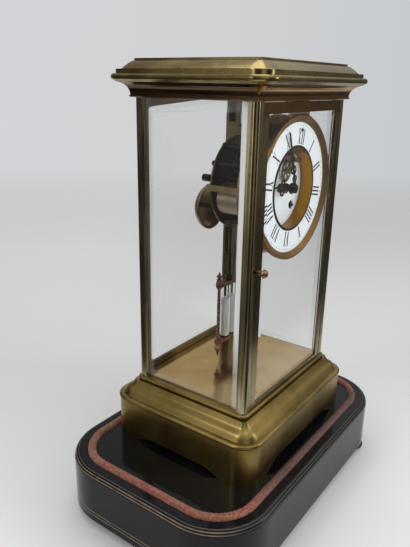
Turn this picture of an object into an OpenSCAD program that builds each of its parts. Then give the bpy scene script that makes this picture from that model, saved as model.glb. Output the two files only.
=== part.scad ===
// Crystal regulator clock on an ebonised display plinth. Sizes in mm.
// Front faces -Y. Sizes above the plinth are measured from the clock's axis and its cage floor line.

/* [Plinth] */
// Height of the board
plinth_h = 45; // [40:0.5:60]
// Radius of the board's corners in plan
plinth_r = 48; // [40:0.5:60]
// Radius of the rounded top edge
plinth_edge = 5; // [4:0.1:6]
// From the left of the base to the plinth's left edge
margin_left = 54.8; // [45:0.1:80]
// From the right of the base to the plinth's right edge
margin_right = 45.4; // [45:0.1:80]
// From the front of the base to the plinth's front edge
margin_front = 22.8; // [18:0.1:50]
// From the back feet to the cord groove
margin_foot = 0.1; // [0.1:0.1:20]
// From the board's edge to the cord groove
groove_inset = 10.5; // [8:0.1:14]
// Width of the cord groove
groove_w = 7.6; // [6:0.1:9]
// Depth of the cord groove
groove_depth = 5; // [4:0.1:8]
// How far the cord stands above the board
cord_rise = 3.2; // [2:0.1:3.5]
// Play between the cord and its groove
cord_play = 0.1; // [0.05:0.05:0.3]
// Width of an inlaid line
line_w = 0.9; // [0.5:0.1:1.2]
// Depth of an inlaid line
line_depth = 0.8; // [0.5:0.1:1.2]
// Where the lines lie on the rounded edge, in degrees from the top
edge_lines = [19, 44, 67]; // [10:1:80]
// Heights of the lines on the wall, above its foot
wall_lines = [5, 8]; // [3:0.5:20]
// Diameter of a bun foot
bun_d = 18; // [14:0.5:20]
// Height of a bun foot
bun_h = 8; // [6:0.5:10]
// From the plinth's end to a bun foot's axis
bun_in_x = 38; // [36:0.1:60]
// From the plinth's front or back to a bun foot's axis
bun_in_y = 9; // [9:0.1:25]
// Radius of a bun foot's dowel
dowel_r = 2.5; // [2:0.1:3.5]
// Length of a bun foot's dowel in the board
dowel_h = 6; // [4:0.5:10]

/* [Base] */
// How far the base stands out past the posts
base_over = 17.75; // [16:0.05:22]
// Height of the base, from its feet to the cage floor line
base_h = 51; // [46:0.5:60]
// Radius of the base's corners in plan
base_r = 17.6; // [17:0.1:22]
// From the cage floor line down to the bead
bead_drop = 16.9; // [15:0.1:20]
// Radius of the bead
bead_r = 2; // [1.6:0.1:2.4]
// From the bead's crown in to the foot of the slope
bead_quirk = 2.2; // [1.5:0.1:3]
// Wall of the casting
base_wall = 2.2; // [1.8:0.1:3]
// How far the apron stands behind the bead
apron_inset = 0.8; // [0.4:0.1:1.5]
// Width of the ledge where the stepped moulding stands on the apron
flange_w = 1.8; // [1.4:0.1:2.4]
// Flat between the slope and the ring moulding
deck_ledge = 1.3; // [1:0.1:2.5]
// Thickness of the casting's deck
deck_t = 1.8; // [1.5:0.1:2.5]
// Length of a foot from its corner
foot_run = 24; // [20:0.5:30]
// Length of the curve from a foot to the apron
foot_curve = 22; // [12:0.5:24]
// Rise of the arch between the feet, front and back
arch_front_h = 7.5; // [4:0.5:12]
// Rise of the arch between the feet, left and right
arch_side_h = 5; // [3:0.5:12]

/* [Glass cage] */
// Half width over the posts
post_out_x = 68.5; // [66:0.1:76]
// Half depth over the posts
post_out_y = 53; // [51:0.1:62]
// Width of a post
post_w = 8.5; // [8:0.1:9]
// Depth of a post
post_d = 7.5; // [7.2:0.1:8.5]
// Radius of a post's outer corner
post_round = 3.5; // [1:0.1:3.6]
// Height of the cage above its floor line
cage_h = 228.7; // [225:0.1:260]
// Radius of a post's spigots
spigot_r = 2; // [1.6:0.1:2.4]
// Fit of the spigots in their bores
spigot_fit = 0.03; // [0.02:0.01:0.1]
// How far the ring moulding stands out past the posts
ring_over = 2.2; // [1.6:0.1:2.6]
// Height of the ring moulding
ring_h = 3.5; // [3:0.1:4]
// How far the ring moulding rises above the cage floor line
ring_rise = 0.5; // [0.2:0.1:0.8]
// Thickness of the floor plate
floor_t = 1.5; // [1:0.1:2]
// From a post's outer face in to the side glass
glass_inset = 2.3; // [2:0.1:3]
// Thickness of the side glass
side_glass_t = 2.4; // [2:0.1:3]
// Width of the side glass's bevel
side_bevel = 7.5; // [5:0.5:10]
// How far the side glass stands in a post's groove
glass_lap = 1.6; // [1.2:0.1:2]
// Play between a pane and its groove
glass_play = 0.2; // [0.1:0.05:0.3]
// Share of a pane's thickness that the bevel takes off
bevel_share = 0.5; // [0.3:0.05:0.6]

/* [Cornice] */
// How far the middles of the cornice's corner rounds stand out past the posts
corner_set = 1.5; // [1.2:0.1:1.8]
// Height of the cornice
cornice_h = 19.3; // [18.5:0.1:22]
// How far the lip under the cornice stands out past the posts
lip_over = 2.9; // [2.8:0.1:3.4]
// How far the ledge of the cornice stands out past the posts
ledge_over = 12.5; // [12:0.1:13]
// How far the cornice's bead stands out past the posts
bead_over = 15.9; // [15.4:0.1:16.5]
// From the cage's top to the middle of the cornice's bead
cornice_bead_h = 14; // [13.5:0.1:14.5]
// Radius of the cornice's bead
cornice_bead_r = 2.3; // [2:0.1:2.5]
// Thickness of the cornice's ceiling, where the posts are bolted
ceiling_t = 3; // [2.6:0.1:4]
// Height of the lid
lid_h = 7.5; // [6.5:0.1:10]
// Height of the lid's upright edge
lid_edge_h = 1.7; // [1.2:0.1:2.2]
// How far the lid's foot stands in from the ledge
lid_set = 3.1; // [2.5:0.1:4]
// How far the lid's top stands out past the posts
lid_over = 0.1; // [0:0.1:1]
// Radius of the lid's corners where they stand level with the posts
lid_round = 1.8; // [1.2:0.1:3]

/* [Doors] */
// Thickness of a door frame
door_t = 2.8; // [2.4:0.1:3]
// Play between a door and the posts
door_gap = 0.3; // [0.2:0.05:0.5]
// Width of a door's stiles
stile_w = 6.5; // [6:0.1:8]
// From the floor line to the front door's opening
front_rail_z = 4.5; // [4:0.1:10]
// From the floor line to the back door's opening
back_rail_z = 8; // [4:0.1:12]
// Width of a door's top rail
top_rail_w = 7.6; // [6:0.1:10]
// Thickness of a door's glass
door_glass_t = 1.4; // [1:0.1:1.6]
// Width of a door glass's bevel
door_bevel = 6; // [4:0.5:9]
// How far a door's glass stands in its frame
door_lap = 1.5; // [1:0.1:1.8]
// Radius of a hinge pin
hinge_pin_r = 0.7; // [0.5:0.05:0.8]
// Height of the knobs above the floor line
knob_z = 112; // [60:1:150]
// Radius of a knob
knob_r = 3.3; // [2.6:0.1:3.6]
// Length of a catch's tongue
tongue = 6.5; // [5.5:0.1:6.8]

/* [Dial] */
// From the cage's top down to the dial's centre
dial_drop = 64.7; // [60:0.1:80]
// From the posts in to the bezel
bezel_gap = 5.2; // [3.8:0.1:6.5]
// Width of the bezel
bezel_w = 5.3; // [4.5:0.1:6]
// From the bezel's front back to the enamel
bezel_deep = 3.4; // [3:0.1:4]
// From the closed front door to the bezel
dial_gap = 0.5; // [0.4:0.1:2]
// Thickness of the enamel
enamel_t = 1.5; // [1.2:0.1:1.8]
// Radius of the sunk centre
well_r = 30.8; // [30:0.1:32]
// Depth of the sunk centre below the enamel
well_deep = 10.4; // [10:0.1:10.6]
// From the dial's middle line to a winding hole
wind_x = 19; // [18:0.1:19.5]
// Height of the winding holes from the dial's centre
wind_z = -13.2; // [-14:0.1:-12.5]
// From the enamel's edge in to the regulating square
regulator_in = 5.5; // [4:0.1:7]
// Turn of the dial and movement inside the bezel that sets the beat, in degrees clockwise
beat_turn = 10; // [0:0.5:12]
// Minute hand, in degrees from XII
minute_angle = 332; // [0:1:360]
// Hour hand, in degrees from XII
hour_angle = 268; // [0:0.5:360]
// Length of the minute hand
minute_len = 44.5; // [40:0.5:47]
// Length of the hour hand
hour_len = 28.5; // [26:0.5:30]

/* [Movement] */
// Radius of the plates
plate_r = 37; // [36.8:0.1:38]
// Thickness of a plate
plate_t = 1.5; // [1.2:0.1:1.8]
// Module of the wheels' teeth
tooth_m = 0.4; // [0.39:0.005:0.405]
// Running play of a shaft in its hole, on the radius
run_gap = 0.05; // [0.02:0.01:0.08]
// Teeth of a barrel
great_teeth = 66; // [64:1:68]
// Leaves of the pinions that the barrels drive
pinion_teeth = 10; // [8:1:12]
// Leaves of the smaller pinions
leaf_teeth = 8; // [7:1:10]
// Teeth of the middle wheel
middle_teeth = 54; // [52:1:56]
// Teeth of the centre wheel
centre_teeth = 56; // [54:1:58]
// Teeth of the third wheel
third_teeth = 52; // [50:1:54]
// Teeth of the strike train's wheels
strike_teeth = 48; // [46:1:50]
// Leaves of the cannon pinion
cannon_teeth = 12; // [11:1:13]
// Teeth of the minute wheel
minute_teeth = 36; // [34:1:38]
// Teeth of the hour wheel
hour_teeth = 40; // [38:1:42]
// Teeth of the escape wheel
escape_teeth = 30; // [24:1:32]
// Radius of the escape wheel
escape_r = 9.2; // [8.8:0.1:9.3]
// Radius of a barrel
barrel_r = 12.3; // [11:0.1:12.4]

/* [Pendulum and bell] */
// From the movement's middle back to the pendulum
pendulum_y = 12; // [11.9:0.1:12.1]
// From the escape wheel's axis to a pallet
pallet_gap = 10.95; // [10.9:0.05:11.2]
// Height of the bob's foot above the floor line
bob_low = 24.5; // [22:0.5:40]
// Height of the vials
vial_h = 49; // [40:0.5:60]
// Thickness of the bars above and below the vials
bob_bar = 3.4; // [2.5:0.1:4]
// Radius of a vial
vial_r = 4.5; // [3.5:0.1:4.7]
// Wall of a vial
vial_wall = 0.7; // [0.5:0.1:1]
// From the pendulum's middle to a vial's axis
vial_x = 4.8; // [4.7:0.1:8]
// Share of a vial that the mercury fills
mercury_share = 0.72; // [0.3:0.01:0.95]
// From the pendulum's middle to a pillar's axis
pillar_x = 14.8; // [12:0.1:18]
// Radius of the bell
bell_r = 19; // [17:0.1:19.5]
// Depth of the bell
bell_deep = 11; // [9:0.1:11.5]
// From the movement's middle back to the bell's mouth
bell_mouth = 22.8; // [22.6:0.1:23.3]

/* [Hidden] */

$fn = 64;
eps = 0.5;

// Heights from the cage floor line
cage_z = bun_h + plinth_h + base_h;
ring_top = ring_rise;
ring_low = ring_rise - ring_h;
floor_top = ring_top + floor_t;
bead_z = -bead_drop;
cornice_top = cage_h + cornice_h;
cornice_bead_z = cage_h + cornice_bead_h;
lid_top = cornice_top + lid_h;
lid_edge_z = lid_top - lid_edge_h;
door_low = ring_top + 0.5;
door_high = cage_h - 0.4;
top_rail_z = door_high - top_rail_w;
dial_z = cage_h - dial_drop;

// Plan sizes
base_w = 2 * (post_out_x + base_over);
base_d = 2 * (post_out_y + base_over);
margin_back = groove_inset + groove_w + margin_foot - apron_inset;
plinth_w = base_w + margin_left + margin_right;
plinth_d = base_d + margin_front + margin_back;
clock_x = (margin_left - margin_right) / 2;
clock_y = (margin_front - margin_back) / 2;
bun_x = plinth_w / 2 - bun_in_x;
bun_y = plinth_d / 2 - bun_in_y;
frame_open_x = post_out_x - post_w - 2;
frame_open_y = post_out_y - post_d - 1.5;
side_glass_out = post_out_x - glass_inset;
hinge_x = post_out_x - post_w - door_gap - door_t / 2;
hinge_y = post_out_y - door_t / 2;
glass_half = post_out_x - post_w - door_gap - stile_w;
knob_x = hinge_x + door_t / 2 - stile_w / 2;

// Depths from the movement's own middle; the dial hangs just behind the front door.
bezel_front = -49.7;
movement_y = door_t + dial_gap - post_out_y - bezel_front;
enamel_front = bezel_front + bezel_deep;
enamel_back = enamel_front + enamel_t;
well_floor = enamel_front + well_deep;
drum_back = -29;
plate_front = drum_back;
plate_back = 5;
plate_in_front = plate_front + plate_t;
plate_in_back = plate_back - plate_t;
minute_y = enamel_front - 1.7;
hour_y = enamel_front + 1.3;
lug_y = (bezel_front - 45.3) / 2;

// Radii round the dial's centre
bezel_r = post_out_x - post_w - bezel_gap;
enamel_r = bezel_r - bezel_w;
enamel_lap = 0.7;
drum_r = bezel_r - 2.8;
drum_open_r = plate_r - 3.5;
dial_foot_r = enamel_r - 7.5;
regulator_z = enamel_r - regulator_in;
hour_m = tooth_m * (cannon_teeth + minute_teeth) / (pinion_teeth + hour_teeth);

// Arbor places, as seen from the front: [x, z] from the dial's centre
centre_at = [0, 0];
escape_at = [0, 13];
anchor_at = [0, 26.5];
going_at = [wind_x, wind_z];
strike_at = [-wind_x, wind_z];
middle_at = meet(centre_at, reach(middle_teeth, pinion_teeth), going_at, reach(great_teeth, pinion_teeth), -1);
third_at = meet(centre_at, reach(centre_teeth, leaf_teeth), escape_at, reach(third_teeth, leaf_teeth), -1);
second_at = strike_at + reach(great_teeth, pinion_teeth) * aim(100);
pin_at = second_at + reach(strike_teeth, leaf_teeth) * aim(75);
fly_at = pin_at + reach(strike_teeth, leaf_teeth) * aim(20);
minute_at = tooth_m * (cannon_teeth + minute_teeth) / 2 * aim(225);
hammer_at = [-30, 12];
hammer_head_at = [-18, 0];
bell_at = [-4.5, -23];
pillar_places = [[-22, 26], [22, 26], [-12, -31.5], [12, -31.5]];
cock_feet = [[-13.5, 22], [13.5, 22]];
strap_screw_x = 33.5;
strap_h = 4.6;
lug_screw_z = 5;

arbor_r = 0.8;
wind_r = 1.5;

// Finishes
ebony = "#1d1c1e";
string_line = "#b89c6c";
velvet = "#b0685c";
brass = "#9a7a3a";
floor_brass = "#c6a35e";
clear = "#dfe9e6";
gilt = "#a67c36";
enamel = "#f1f2f0";
bronze = "#2b201b";
drum_brown = "#5d3c26";
movement_brass = "#8f7040";
steel = "#74716d";
bell_brown = "#6f5d4b";
silver_pool = "#b7b8ba";

// Geometry helpers

function aim(a) = [cos(a), sin(a)];
function reach(a, b) = tooth_m * (a + b) / 2;
function turn(from, to) = atan2(to[1] - from[1], to[0] - from[0]);
// Where two circles cross; side picks one of the two crossings.
function meet(p, rp, q, rq, side) =
  let (d = norm(q - p), u = (q - p) / d, a = (rp * rp - rq * rq + d * d) / (2 * d))
  p + a * u + side * sqrt(rp * rp - a * a) * [-u[1], u[0]];
function arc(c, r, from, to, steps) =
  [for (i = [0:steps]) c + r * aim(from + (to - from) * i / steps)];
function ease(t) = (1 - cos(180 * t)) / 2;
// A place that stays level while the dial turns, as the turned dial sees it
function level(p) =
  [p[0] * cos(beat_turn) - p[1] * sin(beat_turn), p[0] * sin(beat_turn) + p[1] * cos(beat_turn)];
function flip(points) = [for (i = [len(points) - 1:-1:0]) points[i]];

module at_clock() translate([clock_x, clock_y, cage_z]) children();
module at_seat() at_clock() translate([0, movement_y, dial_z]) children();
module at_dial(p = [0, 0]) at_seat() rotate([0, beat_turn, 0]) translate([p[0], 0, p[1]]) children();
module at_pendulum() at_clock() translate([pivot_x, pendulum_y + movement_y, 0]) children();

// A flat drawing in X and Z, given thickness from y = low to y = high.
module slab(low, high) translate([0, high, 0]) rotate([90, 0, 0]) linear_extrude(high - low) children();
module rod(r, low, high, p = [0, 0]) slab(low, high) translate(p) circle(r);
// Points are [radius, y], turned round the Y axis.
module lathe(points) rotate([90, 0, 0]) rotate_extrude() polygon([for (p = points) [p[0], -p[1]]]);
module box(low, high) translate(low) cube(high - low);

// A profile in [outward, z] carried round a rectangle with rounded corners.
module round_ring(half_x, half_y) {
  for (s = [0:3])
    translate([(s == 0 || s == 3 ? 1 : -1) * half_x, (s < 2 ? 1 : -1) * half_y, 0])
      rotate([0, 0, 90 * s])
        rotate_extrude(angle = 90) children();
  for (s = [0, 1]) {
    mirror([s, 0, 0]) translate([half_x, 0, 0]) rotate([90, 0, 0])
      linear_extrude(2 * half_y, center = true) children();
    mirror([0, s, 0]) translate([0, half_y, 0]) rotate([90, 0, 90])
      linear_extrude(2 * half_x, center = true) children();
  }
}

// A solid slab with rounded corners whose edge follows the points in [outward, z], counted from the half sizes.
module moulded(half_x, half_y, r, points) {
  low = points[0][1];
  high = points[len(points) - 1][1];
  round_ring(half_x - r, half_y - r)
    polygon(concat([[0, low]], [for (p = points) [r + p[0], p[1]]], [[0, high]]));
  box([r - half_x, r - half_y, low], [half_x - r, half_y - r, high]);
}

// Teeth are narrow so that meshing wheels keep a working gap at every turn.
tooth_outline = [[-0.2, -1.1], [-0.19, 0.1], [-0.05, 0.7], [0.05, 0.7], [0.19, 0.1], [0.2, -1.1]];
module gear(n, phase, m = tooth_m)
  polygon([for (i = [0:n - 1]) for (p = tooth_outline)
    m * (n / 2 + p[1]) * aim(phase + (i + p[0]) * 360 / n)]);
module wheel(n, phase, hub = 2.6, m = tooth_m) {
  rim = m * n / 2 - 2;
  difference() {
    gear(n, phase, m);
    difference() {
      circle(rim);
      circle(hub);
      for (a = [0:45:135]) rotate(a) square([2 * rim + 1, 1.3], center = true);
    }
  }
}
// The meshing pinion has a gap where the wheel has a tooth.
function gap_phase(n, from, to) = turn(from, to) + 180 / n;

module bored_plate(y, holes) difference() {
  rod(plate_r, y, y + plate_t);
  for (h = holes) rod(h[1], y - eps, y + plate_t + eps, h[0]);
}

// Plinth

module plinth_profile() {
  square([plinth_r, plinth_h - plinth_edge]);
  square([plinth_r - plinth_edge, plinth_h]);
  translate([plinth_r - plinth_edge, plinth_h - plinth_edge]) circle(plinth_edge);
}
plinth_core = [plinth_w / 2 - plinth_r, plinth_d / 2 - plinth_r];

// The cutter for the lines stands past the surface, and the inlay stops flush with it.
module line_profile(proud) {
  for (z = wall_lines) translate([plinth_r - line_depth, z]) square([line_depth + proud, line_w]);
  translate([plinth_r - plinth_edge, plinth_h - plinth_edge]) intersection() {
    circle(plinth_edge + proud);
    for (a = edge_lines) rotate(90 - a) translate([plinth_edge - line_depth, -line_w / 2])
      square([line_depth + 1, line_w]);
  }
}

module plinth_board() color(ebony) translate([0, 0, bun_h]) difference() {
  union() {
    round_ring(plinth_core[0], plinth_core[1]) plinth_profile();
    box([-plinth_core[0], -plinth_core[1], 0], [plinth_core[0], plinth_core[1], plinth_h]);
  }
  round_ring(plinth_core[0], plinth_core[1])
    translate([plinth_r - groove_inset - groove_w, plinth_h - groove_depth])
      square([groove_w, groove_depth + 1]);
  round_ring(plinth_core[0], plinth_core[1]) line_profile(0.5);
  for (x = [-1, 1], y = [-1, 1]) translate([x * bun_x, y * bun_y, -1])
    cylinder(r = dowel_r + run_gap, h = dowel_h + 2);
}

module plinth_lines() color(string_line) translate([0, 0, bun_h])
  round_ring(plinth_core[0], plinth_core[1]) line_profile(0);

// The cord's flat underside rests in the groove, and its round back stands above the board.
module chenille_ring() color(velvet) {
  cord_r = groove_w / 2 - cord_play;
  middle = plinth_h + cord_rise - cord_r;
  translate([0, 0, bun_h]) round_ring(plinth_core[0], plinth_core[1])
    translate([plinth_r - groove_inset - groove_w / 2, 0]) {
      translate([0, middle]) circle(cord_r);
      translate([-cord_r, plinth_h - groove_depth]) square([2 * cord_r, middle - plinth_h + groove_depth]);
    }
}

module bun_feet() color(ebony) for (x = [-1, 1], y = [-1, 1]) translate([x * bun_x, y * bun_y, 0]) {
  rotate_extrude() {
    square([bun_d / 2 - bun_h / 2, bun_h]);
    translate([bun_d / 2 - bun_h / 2, bun_h / 2]) intersection() {
      circle(bun_h / 2);
      translate([0, -bun_h]) square(2 * bun_h);
    }
  }
  cylinder(r = dowel_r, h = bun_h + dowel_h);
}

// Base

base_core = [base_w / 2 - base_r, base_d / 2 - base_r];

slope_foot = [base_r - bead_r - bead_quirk, bead_z + bead_r];
slope_head = [base_r - base_over + ring_over + deck_ledge, ring_low];

// Convex near the bead and hollow near the cage, as a turned ogee is.
function slope(t) = slope_foot + [t * (slope_head[0] - slope_foot[0]),
  (t + 0.1 * sin(360 * t)) * (slope_head[1] - slope_foot[1])];

// Upright apron with the bead at its top and a narrow flange that carries the stepped moulding
module apron_profile() {
  out = base_r - apron_inset;
  translate([out - base_wall, -base_h]) square([base_wall, base_h + bead_z]);
  translate([base_r - bead_r, bead_z]) circle(bead_r);
  translate([slope_foot[0] - flange_w, bead_z]) square([base_r - bead_r - slope_foot[0] + flange_w, bead_r]);
}

// Stepped moulding from the bead up to the deck, standing on the apron's flange
module cap_profile() {
  upper = [for (i = [0:10]) slope(i / 10)];
  lower = [for (i = [8:-1:1]) slope(i / 10) + [-flange_w, -deck_t]];
  polygon(concat(upper, [[0.2, ring_low], [0.2, ring_low - deck_t]],
    [for (p = lower) [p[0], max(p[1], slope_foot[1])]], [slope_foot - [flange_w, 0]]));
}

module arch(half, top) {
  foot = half - foot_run;
  side = [for (i = [0:8]) [foot - foot_curve * i / 8, -base_h + (top + base_h) * ease(i / 8)]];
  polygon(concat([[foot, -base_h - 1]], side, [for (p = flip(side)) [-p[0], p[1]]], [[-foot, -base_h - 1]]));
}

module base_casting() color(brass) at_clock() difference() {
  round_ring(base_core[0], base_core[1]) apron_profile();
  slab(-base_d, base_d) arch(base_w / 2, arch_front_h - base_h);
  rotate([0, 0, 90]) slab(-base_w, base_w) arch(base_d / 2, arch_side_h - base_h);
}

module base_cap() color(brass) at_clock() difference() {
  union() {
    round_ring(base_core[0], base_core[1]) cap_profile();
    box([-base_core[0] - 1, -base_core[1] - 1, ring_low - deck_t],
      [base_core[0] + 1, base_core[1] + 1, ring_low]);
  }
  box([-frame_open_x, -frame_open_y, -base_h], [frame_open_x, frame_open_y, 1]);
  post_bores(ring_low - deck_t - 1, 0);
}

// Glass cage

module post_axes() for (x = [-1, 1], y = [-1, 1])
  translate([x * (post_out_x - post_w / 2), y * (post_out_y - post_d / 2), 0]) children();
module post_bores(low, high) post_axes() translate([0, 0, low])
  cylinder(r = spigot_r + spigot_fit, h = high - low);
module hinge_bores(low, high) for (y = [-1, 1])
  translate([hinge_x, y * hinge_y, low]) cylinder(r = hinge_pin_r + run_gap, h = high - low);

module ring_moulding() color(brass) at_clock() difference() {
  half_h = (ring_top - ring_low) / 2;
  moulded(post_out_x, post_out_y, post_round, arc([ring_over - half_h, ring_low + half_h], half_h, -90, 90, 8));
  box([-frame_open_x, -frame_open_y, ring_low - 1], [frame_open_x, frame_open_y, ring_top + 1]);
  post_bores(ring_low - 1, ring_top + 1);
  hinge_bores(ring_low + 0.4, ring_top + 1);
}

module floor_plate() color(floor_brass) at_clock() difference() {
  in_x = post_out_x - post_w - 0.1;
  in_y = post_out_y - post_d - 0.1;
  edge_x = side_glass_out - side_glass_t - glass_play;
  edge_y = post_out_y - door_t - 0.7;
  box([-edge_x, -edge_y, ring_top], [edge_x, edge_y, floor_top]);
  for (x = [-1, 1], y = [-1, 1]) translate([x * (in_x + 10), y * (in_y + 10), 0])
    cube([20, 20, 20], center = true);
}

// One corner post, drawn at the front left: rounded outside, grooved for the side glass,
// with a spigot at each end.
module corner_post(catch_slot) {
  x0 = -post_out_x;
  y0 = -post_out_y;
  difference() {
    union() {
      translate([0, 0, ring_top]) linear_extrude(cage_h - ring_top) union() {
        translate([x0 + post_round, y0 + post_round]) circle(post_round);
        translate([x0 + post_round, y0]) square([post_w - post_round, post_d]);
        translate([x0, y0 + post_round]) square([post_w, post_d - post_round]);
      }
      translate([x0 + post_w / 2, y0 + post_d / 2, ring_low - deck_t - 3.5])
        cylinder(r = spigot_r, h = cage_h + ceiling_t + 3.5 - ring_low + deck_t + 3.5);
    }
    box([-side_glass_out - glass_play, y0 + post_d - glass_lap - glass_play, ring_top - 1],
      [-side_glass_out + side_glass_t + glass_play, y0 + post_d + 1, cage_h + 1]);
    if (catch_slot)
      box([x0 + post_w - 4, y0 + door_t - 0.2, knob_z - 2.2],
        [x0 + post_w + 1, y0 + door_t + 1.8, knob_z + tongue + 1]);
  }
}
module lug_bore() at_seat() translate([0, lug_y, lug_screw_z]) rotate([0, 90, 0])
  cylinder(r = 1, h = 2 * (post_out_x - post_w + 3), center = true);

module post_front_left() color(brass) difference() {
  at_clock() corner_post(true);
  lug_bore();
}
module post_front_right() color(brass) difference() {
  at_clock() mirror([1, 0, 0]) corner_post(false);
  lug_bore();
}
module post_back_left() color(brass) at_clock() mirror([0, 1, 0]) corner_post(true);
module post_back_right() color(brass) at_clock() mirror([1, 0, 0]) mirror([0, 1, 0]) corner_post(false);

module post_nuts() color(brass) at_clock() for (z = [ring_low - deck_t - 3, cage_h + ceiling_t]) post_axes()
  translate([0, 0, z]) difference() {
    cylinder(r = 3.6, h = 3, $fn = 6);
    translate([0, 0, -1]) cylinder(r = spigot_r + spigot_fit, h = 5);
  }

// Glass with a bevelled border on its outer face, standing in Y and Z with its outer face at x = 0.
module bevelled_pane(half_w, low, high, t, bevel) intersection() {
  translate([0, 0, low]) linear_extrude(high - low)
    polygon([[-t, -half_w], [-bevel_share * t, -half_w], [0, bevel - half_w],
      [0, half_w - bevel], [-bevel_share * t, half_w], [-t, half_w]]);
  rotate([90, 0, 0]) linear_extrude(2 * half_w + 2, center = true)
    polygon([[-t, low], [-bevel_share * t, low], [0, low + bevel],
      [0, high - bevel], [-bevel_share * t, high], [-t, high]]);
}
module side_glass_right() color(clear, 0.3) at_clock() translate([side_glass_out, 0, 0])
  bevelled_pane(post_out_y - post_d + glass_lap, ring_top, cage_h, side_glass_t, side_bevel);
module side_glass_left() color(clear, 0.3) at_clock() mirror([1, 0, 0]) translate([side_glass_out, 0, 0])
  bevelled_pane(post_out_y - post_d + glass_lap, ring_top, cage_h, side_glass_t, side_bevel);

// Cornice

// The hollow under the bead is a quarter of an ellipse.
cove_h = cornice_bead_h - cornice_bead_r - 2.5;
cove_w = ledge_over + 2.2 - lip_over;
function cove(a) = [ledge_over + 1.4 + cove_w * cos(a), cage_h + 1.6 + cove_h * sin(a)];

module cornice_frame() color(brass) at_clock() difference() {
  moulded(post_out_x, post_out_y, -corner_set, concat(
    [[lip_over - 0.8, cage_h], [lip_over, cage_h + 0.6], [lip_over, cage_h + 1.4]],
    [for (i = [0:8]) cove(180 - 81 * i / 8)],
    arc([bead_over - cornice_bead_r, cornice_bead_z], cornice_bead_r, -90, 90, 8),
    [[ledge_over - 0.3, cornice_bead_z + cornice_bead_r], [ledge_over - 0.3, cornice_top]]));
  box([-frame_open_x - 5, -frame_open_y - 3, cage_h + ceiling_t],
    [frame_open_x + 5, frame_open_y + 3, cornice_top + 1]);
  post_axes() translate([0, 0, cage_h + ceiling_t]) cylinder(r = 4.4, h = 20);
  post_bores(cage_h - 1, cage_h + ceiling_t + 1);
  hinge_bores(cage_h - 1, cage_h + 2.6);
}

module cornice_lid() color(brass) at_clock() difference() {
  foot = ledge_over - lid_set;
  moulded(post_out_x, post_out_y, lid_round, concat(
    [[foot, cornice_top]],
    [for (i = [0:6]) [foot - 0.2 - (foot - 1.2 - lid_over) * i / 6,
      cornice_top + 0.4 + (lid_edge_z - cornice_top - 0.4) * (1 - pow(1 - i / 6, 1.25))]],
    [[lid_over, lid_edge_z], [lid_over, lid_top - 0.4], [lid_over - 0.4, lid_top]]));
  box([-frame_open_x, -frame_open_y, cornice_top - 1], [frame_open_x, frame_open_y, lid_edge_z]);
}

// Doors, drawn at the front with the hinge on the right

module door_frame(low_rail) {
  out = hinge_x + door_t / 2;
  difference() {
    union() {
      box([-out, -post_out_y, door_low], [hinge_x, -post_out_y + door_t, door_high]);
      translate([hinge_x, -hinge_y, door_low]) cylinder(r = door_t / 2, h = door_high - door_low);
    }
    box([-glass_half, -post_out_y - 1, low_rail], [glass_half, -post_out_y + door_t + 1, top_rail_z]);
    box([-glass_half - door_lap - 0.1, -hinge_y - door_glass_t / 2 - 0.05, low_rail - door_lap - 0.1],
      [glass_half + door_lap + 0.1, -hinge_y + door_glass_t / 2 + 0.05, top_rail_z + door_lap + 0.1]);
    translate([hinge_x, -hinge_y, door_low - 1]) cylinder(r = hinge_pin_r, h = 7);
    translate([hinge_x, -hinge_y, door_high - 6]) cylinder(r = hinge_pin_r, h = 7);
    rod(1 + run_gap, -post_out_y - 1, -post_out_y + door_t + 1, [-knob_x, knob_z]);
  }
  translate([hinge_x, -hinge_y, ring_low + 0.6]) cylinder(r = hinge_pin_r, h = door_low + 6 - ring_low - 0.6);
  translate([hinge_x, -hinge_y, door_high - 6]) cylinder(r = hinge_pin_r, h = 8.6);
}
module door_glass(low_rail) translate([0, -hinge_y - door_glass_t / 2, 0]) rotate([0, 0, -90])
  bevelled_pane(glass_half + door_lap, low_rail - door_lap, top_rail_z + door_lap, door_glass_t, door_bevel);

// Knob, shaft and the catch tongue behind the stile. It is stored with the catch drawn.
module door_knob() translate([-knob_x, 0, knob_z]) {
  front = -post_out_y;
  lathe(concat([[0, front + door_t + 1.3], [1, front + door_t + 1.3], [1, front - 0.1], [1.9, front - 0.1],
      [1.5, front - 1.4], [1.4, front - 2.4], [2.3, front - 2.9]],
    [for (p = arc([0, 0], 1, 0, 80, 6)) [knob_r * p[0], front - 3.8 - 3.2 * p[1]]],
    [[0, front - 7]]));
  box([-1.2, front + door_t + 0.1, -1.2], [1.2, front + door_t + 1.2, tongue]);
}

module front_door_frame() color(brass) at_clock() door_frame(front_rail_z);
module front_door_glass() color(clear, 0.3) at_clock() door_glass(front_rail_z);
module front_knob() color(brass) at_clock() door_knob();
module back_door_frame() color(brass) at_clock() mirror([0, 1, 0]) door_frame(back_rail_z);
module back_door_glass() color(clear, 0.3) at_clock() mirror([0, 1, 0]) door_glass(back_rail_z);
module back_knob() color(brass) at_clock() mirror([0, 1, 0]) door_knob();

// Dial

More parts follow.
